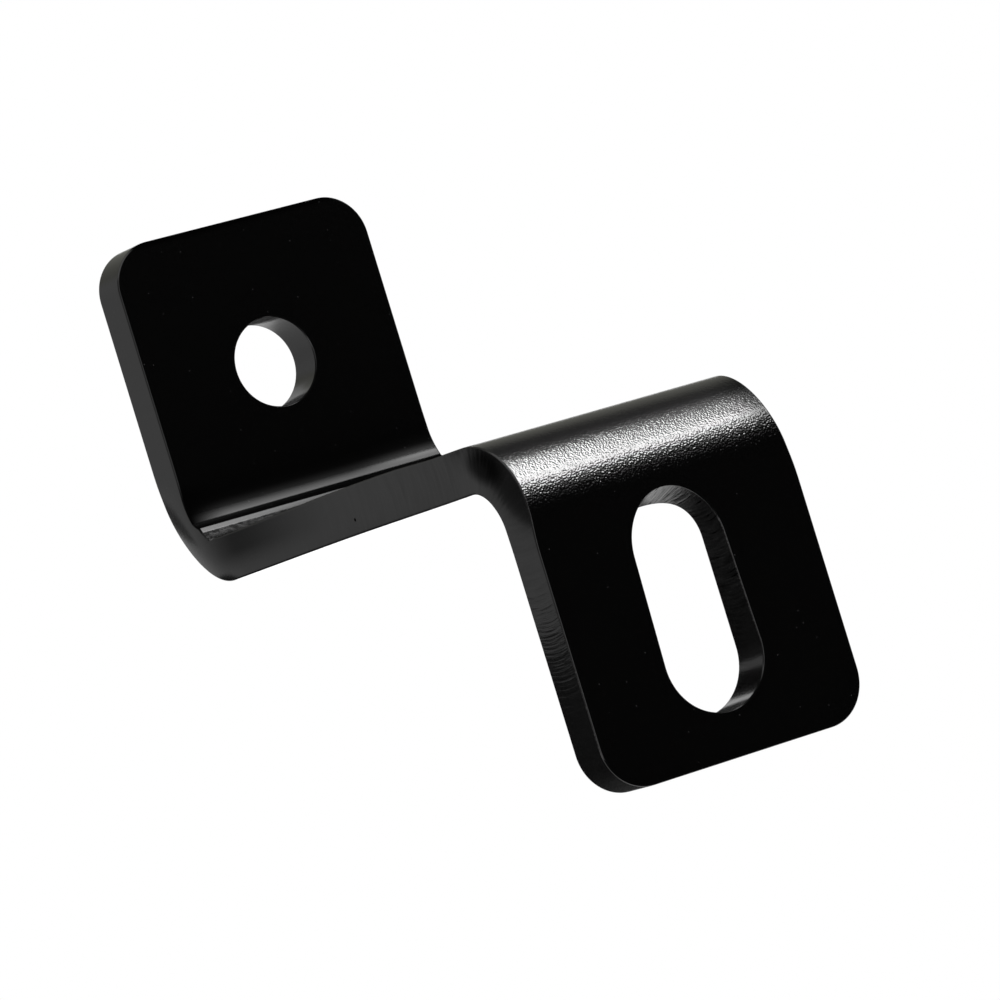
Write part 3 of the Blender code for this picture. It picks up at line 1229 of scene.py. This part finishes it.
# %% The large cards
hang_card("front_flag", (0.36, -0.60, -0.02), 1.1, 0.70, 0.01)
hang_card("grey_ceiling", (0.4, 0.9, 1.1), 4.0, 2.02, 0.25, (1, 1, 0.9))
hang_card("grey_side", (-0.62, 1.03, 0.1), 0.55, 1.2, 0.38)
hang_card("dim_back_left", (-1.05, 1.45, 0.4), 2.6, 1.7, 0.08)
hang_card("dim_left", (-1.6, -0.4, 0.35), 2.6, 1.5, 0.22)
hang_card("dark_zenith", (0.42, 0.16, 0.66), 1.6, 0.30, 0.08)
hang_card("soft_lamp_edge", (0.416, -0.586, 0.352), 1.2, 0.34, 2.2, fade=True)
hang_card("dark_front_floor", (0.3, -0.35, -0.15), 1.2, 0.6, 0.02, facing=(0.3, -0.35, 1.0))
hang_card("low_grey", (-0.07, 0.28, -0.08), 0.36, 0.15, 0.40)

# %% [markdown]
# ## The cards close behind the bracket
#
# The small round walls of the hole and the slot mirror only what stands just behind the flanges, and
# so do the bar's sides. Narrow dark and pale strips close to them set where each wall turns from
# dark to light. They are given by their edges in millimetres, as they would be cut out, and by how
# far back they hang. The strips in the slot stand between the flanges, in four steps of grey, because
# its upper end brightens step by step.

# %% The cards behind the web
BEHIND = 46.5 * MM
CLOSE_BEHIND = 45.5 * MM
FAR_BEHIND = 47.0 * MM


def hang_behind(name, left, right, bottom, top, brightness, y=BEHIND):
    """An upright card close behind the bracket, given by its edges in millimetres."""
    middle = Vector(((left + right) / 2 * MM, y, (bottom + top) / 2 * MM))
    width = (right - left) * MM
    height = (top - bottom) * MM
    return hang_card(name, middle, width, height, brightness, facing=middle - Vector((0, 1, 0)))


hang_behind("dark_under_web", -60, 8, -112, -9, 0.03)
hang_behind("dim_under_web", 8, 28, -70, -17, 0.13)
hang_behind("grey_under_web", 28, 44, -60, -17, 0.40)
hang_behind("pale_under_web", 44, 65, -50, -17, 1.2)
hang_behind("dark_low_right", 44, 75, -60, -50, 0.08)
hang_behind("dark_low", 8, 75, -112, -60, 0.04, FAR_BEHIND)
hang_behind("dark_past_web", -60, -20, -9, -3.5, 0.03)
hang_behind("dark_far_side", -115, -60, -112, -24, 0.04)
hang_behind("white_below", -14, 130, -16.0, -3.2, 1.7, CLOSE_BEHIND)

# %% The cards behind the hole
HOLE_CARDS = 60 * MM
hang_behind("dark_by_hole", 8.9, 40, 5, 45, 0.06, HOLE_CARDS)
hang_behind("pale_by_hole", 3.5, 8.9, 19.3, 25.0, 1.15, HOLE_CARDS)
hang_behind("soft_by_hole", 3.5, 8.9, 25.0, 30.3, 0.62, HOLE_CARDS)

# %% The cards behind the slot
GLOW_CARDS = -30 * MM
SLOT_CARDS = -10 * MM
SLOT_GLOW = ((1.2, 4.2, 0.04), (4.2, 6.0, 0.07), (6.0, 7.6, 0.16), (7.6, 14.0, 0.75))
for left, right, brightness in SLOT_GLOW:
    hang_behind("slot_glow", left, right, -26.0, -14.0, brightness, GLOW_CARDS)
hang_behind("dark_by_slot", 16.1, 45, -45, -18, 0.03, SLOT_CARDS)
hang_behind("pale_by_slot", 11.5, 16.1, -28, -12, 1.2, SLOT_CARDS)

# %% [markdown]
# ## The lamp
#
# One soft lamp above the front right draws the bright band along the lower bend. Its breadth sets
# how wide the band is, its length keeps the band even from edge to edge, and its direction says
# how far round the bend the band lies. An area lamp is soft by its size, as a real softbox is.

# %% The lamp
LAMP_TOWARDS = Vector((0.52, -0.372, 0.769)).normalized()
LAMP_DISTANCE = 1.0
LAMP_LENGTH = 0.45
LAMP_BREADTH = 0.615
LAMP_POWER = 18.5

lamp_data = bpy.data.lights.new("soft_lamp", "AREA")
lamp_data.shape = "RECTANGLE"
lamp_data.size = LAMP_LENGTH
lamp_data.size_y = LAMP_BREADTH
lamp_data.energy = LAMP_POWER
lamp = bpy.data.objects.new("soft_lamp", lamp_data)
bpy.context.scene.collection.objects.link(lamp)
lamp.location = LAMP_TOWARDS * LAMP_DISTANCE
across_lamp = Vector((1, 0, 0)) - LAMP_TOWARDS * LAMP_TOWARDS.x
across_lamp.normalize()
down_lamp = LAMP_TOWARDS.cross(across_lamp)
lamp_axes = Matrix((across_lamp, down_lamp, LAMP_TOWARDS)).transposed().to_4x4()
lamp.matrix_world = Matrix.Translation(lamp.location) @ lamp_axes
print("the lamp hangs", round(lamp.location.z, 2), "m above the bracket's middle")

# %% [markdown]
# ## Finish
#
# The picture shows colours as they are written.

# %% Finish
bpy.context.scene.view_settings.view_transform = "Standard"
